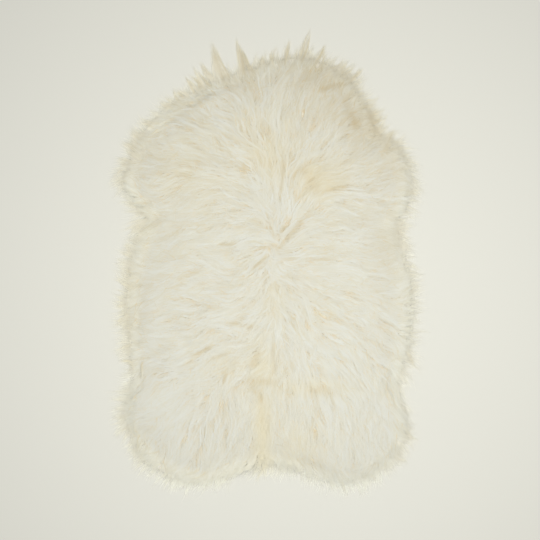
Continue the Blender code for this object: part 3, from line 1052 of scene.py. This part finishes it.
def under_wool_material():
    """The mat: matt cream wool, yellower in the partings, with painted shade in the crevices and
    painted light at the rim.
    """
    material, nodes, links, shader = new_material("under_wool")
    noise = noise_node(nodes, 140.0, 4.0)
    dark, light = MAT_SHADES
    body = ramp_node(nodes, links, noise, (0.3, dark), (0.7, light))
    yellowed = mix_node(nodes, links, attribute_node(nodes, "warm"), body, YELLOW_MAT)
    colour = mix_node(nodes, links, attribute_node(nodes, "rim"), yellowed, PAINTED_RIM_LIGHT_MAT)
    links.new(colour, shader.inputs["Base Color"])
    add_bump(nodes, links, shader, noise, 0.5, 0.0015)
    set_inputs(shader, {"Roughness": 0.85, "Specular IOR Level": 0.2})
    return material


def suede_material():
    """The flesh side of the hide: mottled tan, with a fine nap."""
    material, nodes, links, shader = new_material("suede")
    dark, light = SUEDE_SHADES
    body = ramp_node(nodes, links, noise_node(nodes, 22.0, 6.0), (0.3, dark), (0.7, light))
    links.new(body, shader.inputs["Base Color"])
    add_bump(nodes, links, shader, noise_node(nodes, 900.0, 2.0), 0.4, 0.0006)
    set_inputs(shader, {"Roughness": 0.9, "Specular IOR Level": 0.2, "Sheen Weight": 0.3})
    return material


def floor_material():
    material, *_, shader = new_material("studio_floor")
    set_inputs(shader, {"Base Color": FLOOR_COLOUR, "Roughness": 0.9, "Specular IOR Level": 0.1})
    return material


def make_floor():
    mesh = bpy.data.meshes.new("floor")
    near, far = -FLOOR_REACH, FLOOR_REACH
    corners = [(near, near, 0), (far, near, 0), (far, far, 0), (near, far, 0)]
    mesh.from_pydata(corners, [], [(0, 1, 2, 3)])
    floor = in_scene("floor", mesh)
    mesh.materials.append(floor_material())


def make_light():
    """A round soft light that shines straight down."""
    data = bpy.data.lights.new("key", "AREA")
    data.shape = "DISK"
    data.size = LIGHT_SIZE
    data.energy = LIGHT_POWER
    data.color = LIGHT_COLOUR
    in_scene("key", data).location = LIGHT_PLACE


def make_studio():
    scene = bpy.context.scene
    scene.view_settings.view_transform = "Standard"
    scene.view_settings.look = "None"
    world = bpy.data.worlds.new("studio")
    world.use_nodes = True
    background = world.node_tree.nodes["Background"]
    set_inputs(background, {"Color": grey(1.0), "Strength": GLOW_STRENGTH})
    scene.world = world
    make_light()


def make_camera():
    """A camera straight over the rug that sees as much floor as the photograph."""
    data = bpy.data.cameras.new("camera")
    data.sensor_width = SENSOR_WIDTH
    width = METRES_PER_PIXEL * PHOTO_PIXELS
    data.lens = data.sensor_width * CAMERA_HEIGHT / width
    camera = in_scene("camera", data)
    camera.location = (*VIEW_CENTRE, CAMERA_HEIGHT)
    bpy.context.scene.camera = camera


def kind_of(kind, lines, rng):
    """What the locks of one kind are like, as arrays with a value for each lock."""
    count = len(lines)
    spread = np.interp(lines[:, 0, 1], (cad_low.y, cad_high.y), TINT_SPREAD)
    return {
        "lines": lines,
        "layer": rng.uniform(*kind.layer, count),
        "lift": rng.uniform(*kind.lift, count) + rng.uniform(-1, 1, count) * LOCK_LIFT,
        "limit": rng.uniform(*kind.reach, count),
        "radius": kind.radius * rng.uniform(*LOCK_RADII, count),
        "fibres": np.full(count, kind.fibres),
        "width": np.full(count, kind.width),
        "tint": np.clip(rng.normal(kind.tint, spread), 0, 1),
        "start": np.full(count, kind.start),
    }


def main_tufts(outline, comb, rng):
    """The middle lines of the tufts of the cover and the rim, and how far each is lifted."""
    roots = scattered(outline, TUFT_SPACING, -1.0, TUFT_OVERHANG, rng)
    near_edge = distance_outside(outline, *roots.T) > -EDGE_BAND
    ends = (np.where(near_edge, *pair) for pair in zip(EDGE_TUFT_LENGTH, TUFT_LENGTH))
    tufts = lay_tufts(comb, roots, rng.uniform(*ends), rng)
    return tufts, rng.uniform(*TUFT_LIFTS, len(roots))


def all_locks(outline, comb, rng):
    """The locks of every kind, joined in one set of arrays."""
    tufts, tuft_lift = main_tufts(outline, comb, rng)
    parts = []
    for kind in (COVER, RIM):
        lines, tuft = lay_locks(tufts, scattered(outline, kind.spacing, -kind.band, 0, rng), rng)
        parts.append(kind_of(kind, lines, rng))
        parts[-1]["lift"] += tuft_lift[tuft]
    for kind, lengths, turned in (
        (UNDERCOAT, UNDERCOAT_LENGTH, LOOSE_TURN),
        (HAIR, HAIR_LENGTH, HAIR_TURN),
    ):
        roots = scattered(outline, kind.spacing, -kind.band, 0, rng)
        length = rng.uniform(*lengths, len(roots))
        parts.append(kind_of(kind, lay_tufts(comb, roots, length, rng, turned=turned), rng))
    roots, first = crossing_tufts(rng)
    length = rng.uniform(*CROSSING_LENGTH, len(roots))
    parts.append(kind_of(CROSSING, lay_tufts(comb, roots, length, rng, first), rng))
    parts.append(kind_of(WISP, lay_wisps(rng), rng))
    return {key: np.concatenate([part[key] for part in parts]) for key in parts[0]}


def values_along(places, lock, depth, kinds, away):
    """What the colours of the fibres depend on, at each step."""
    x, y = places[..., 0], places[..., 1]
    past = away.at(x, y)
    # Painted light on the top of each lock and painted shade below, added to its tint.
    tint = np.clip(kinds["tint"][lock] + LOCK_TOP_PAINTED_LIGHT * depth, 0, 1)[:, None]
    start = kinds["start"][lock][:, None]
    # Painted light at the rim, against the shade of its slope and overhang; less at the right and
    # at the neck.
    of_warm, more_of_light = PAINTED_RIM_LIGHT_BY_TINT
    painted_rim_light = rising(past, PAINTED_RIM_LIGHT_BAND) * (1 - RIM_LIGHT_LESS_AT_RIGHT * rising(x, RIGHT_BAND))
    painted_rim_light *= of_warm + more_of_light * tint
    return {
        "along": start + (1 - start) * FIBRE_STEPS,
        "warm": in_patches(WARM, x, y),
        # painted shade in the crevices
        "crevice": in_crevices(x, y),
        # painted shade: the browner patches
        "painted_shade": in_patches(PAINTED_SHADE, x, y),
        "tint": np.clip(tint + PALE_TINT * in_patches(PALE, x, y), 0, 1),
        "rim": painted_rim_light * (1 - RIM_LIGHT_LESS_AT_NECK * rising(y, NECK_BAND)),
        "thin": rising(past, THIN_BAND) * rising(y, TAIL_BAND),
    }


def grow_wool(outline, height, away):
    """All the fibres: places, sides, widths, shading normals and values at each step."""
    rng = np.random.default_rng(WOOL_SEED)
    kinds = all_locks(outline, comb_field(), rng)
    lines = kinds["lines"]
    locks = raise_locks(lines, height, kinds["lift"], kinds["layer"])
    locks[..., 2] -= CREVICE_DEPTH * in_crevices(lines[..., 0], lines[..., 1])
    limit = kinds["limit"] + REACH_NOISE.at(*lines[:, 0].T) * REACH_JITTER
    share = share_within(lines, away, limit)
    places, flat, width, lock, depth = grow_fibres(locks, share, kinds, rng)
    values = values_along(places, lock, depth, kinds, away)
    return places, flat, width, soft_normals(places, flat, height), values


def add_under_wool(outline, height, away):
    mesh = under_wool(outline, height, away)
    mat = add_object("under_wool", mesh, under_wool_material())
    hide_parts("fleece")


def add_locks(outline, height, away):
    """The fibres from tail end to neck end, in pieces that aren't too large."""
    *arrays, values = grow_wool(outline, height, away)
    places = arrays[0]
    wool = wool_material()
    triangles = 2 * (len(FIBRE_STEPS) - 2) + 1
    groups = math.ceil(len(places) * triangles / MOST_TRIANGLES)
    order = np.argsort(places[:, 0, 1], kind="stable")
    for k, chosen in enumerate(np.array_split(order, groups)):
        name = f"wool_locks_{k + 1}"
        picked = {key: value[chosen] for key, value in values.items()}
        mesh = fibre_mesh(name, *(array[chosen] for array in arrays), picked)
        piece = add_object(name, mesh, wool)
        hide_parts("fleece")


def dress_hide():
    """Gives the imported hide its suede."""
    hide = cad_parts["hide"]
    hide.data.materials.clear()
    hide.data.materials.append(suede_material())


def main():
    make_camera()
    outline = hide_outline(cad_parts["hide"])
    height, away = wool_height(outline)
    add_under_wool(outline, height, away)
    add_locks(outline, height, away)
    dress_hide()
    make_floor()
    make_studio()


main()
